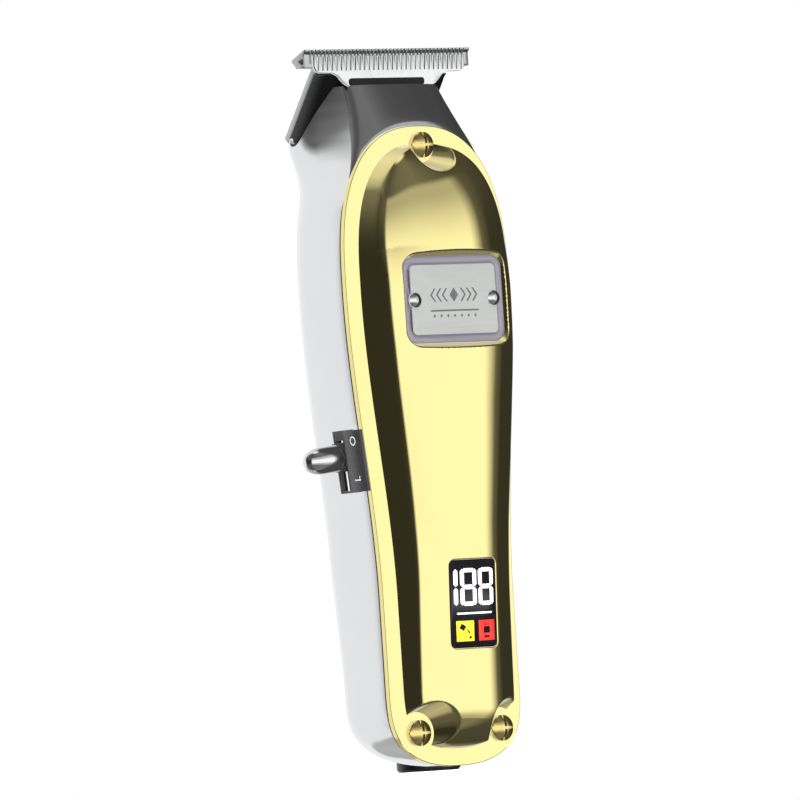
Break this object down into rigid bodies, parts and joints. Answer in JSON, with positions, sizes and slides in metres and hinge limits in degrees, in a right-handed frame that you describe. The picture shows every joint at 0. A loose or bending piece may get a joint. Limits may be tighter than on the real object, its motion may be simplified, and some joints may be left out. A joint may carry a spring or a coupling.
{
  "type": "beard trimmer",
  "caption": "Cordless T-blade beard trimmer: slim metal shell with a domed front cover, small display, side slide switch and a wide toothed blade head.",
  "frame": {"origin": "centre of the round foot's flat face at the bottom end", "axes": "+Z along the length towards the blade, -Y out of the front cover, +X to the right seen from the front (the switch is at -X)"},
  "size_m": [0.048, 0.0382, 0.148],
  "materials": {
    "chrome_shell": "mirror polished",
    "gold_metal": "mirror gold plating",
    "gold_screw": "polished gold plating",
    "satin_plate": "fine satin",
    "chrome_rivet": "polished",
    "black_gloss": "high gloss",
    "white_light": "lit",
    "yellow_light": "lit",
    "red_light": "lit",
    "white_plastic": "matte",
    "board_green": "solder mask",
    "zinc_screw": "zinc plated",
    "socket_steel": "stamped",
    "foot_plastic": "satin",
    "cell_sleeve": "shrink sleeve",
    "black_plastic": "moulded",
    "nickel": "nickel strip",
    "wire_red": "insulation",
    "wire_black": "insulation",
    "motor_steel": "plated can",
    "magnet_dark": "sintered",
    "shaft_steel": "ground",
    "copper": "wound wire on laminations",
    "ivory_plastic": "acetal",
    "bracket_black": "moulded",
    "blade_steel": "ground steel",
    "blade_screw_steel": "turned",
    "spring_steel": "drawn wire",
    "cutter_steel": "fine ground",
    "switch_black": "semi gloss",
    "mark_white": "printed",
    "mark_red": "printed",
    "chrome_knob": "mirror polished",
    "carriage_black": "moulded"
  },
  "bodies": {
    "handle": {"housing": "chrome_shell", "front_cover": "gold_metal", "cover_screws": "gold_screw", "nameplate": "satin_plate", "nameplate_rivets": "chrome_rivet", "display_window": "black_gloss", "display_digits": "white_light", "oil_lamp": "yellow_light", "charge_lamp": "red_light", "display_module": "white_plastic", "circuit_board": "board_green", "board_screws": "zinc_screw", "charging_socket": "socket_steel", "foot_ring": "foot_plastic", "battery_cell": "cell_sleeve", "battery_holder": "black_plastic", "battery_tabs": "nickel", "battery_leads": "wire_red", "motor_can": "motor_steel", "motor_magnets": "magnet_dark", "motor_end_cap": "black_plastic", "motor_leads": "wire_black", "motor_mount": "black_plastic", "motor_screws": "zinc_screw", "blade_bracket": "bracket_black", "frame_screws": "zinc_screw", "fixed_blade": "blade_steel", "blade_screws": "blade_screw_steel", "cutter_spring": "spring_steel", "switch_plate": "switch_black", "switch_marks": "mark_white", "switch_red_mark": "mark_red", "slide_switch": "motor_steel"},
    "crank": {"motor_shaft": "shaft_steel", "armature": "copper", "eccentric_cam": "ivory_plastic"},
    "cutter": {"moving_cutter": "cutter_steel", "drive_yoke": "ivory_plastic"},
    "switch": {"switch_knob": "chrome_knob", "switch_carriage": "carriage_black"}
  },
  "joints": [
    {"name": "crank_turn", "type": "hinge", "parent": "handle", "child": "crank", "pos_m": [0, -0.001, 0.115], "axis": [0, 0, 1], "range_deg": [-90, 90]},
    {"name": "cutter_slide", "type": "slide", "parent": "handle", "child": "cutter", "axis": [1, 0, 0], "range_m": [-0.001, 0.001]},
    {"name": "switch_slide", "type": "slide", "parent": "handle", "child": "switch", "axis": [0.0958, 0, -0.9954], "range_m": [0, 0.004]}
  ],
  "couplings": [
    {"joint": "cutter_slide", "follows": "crank_turn", "m_per_rad": 0.00063661}
  ]
}
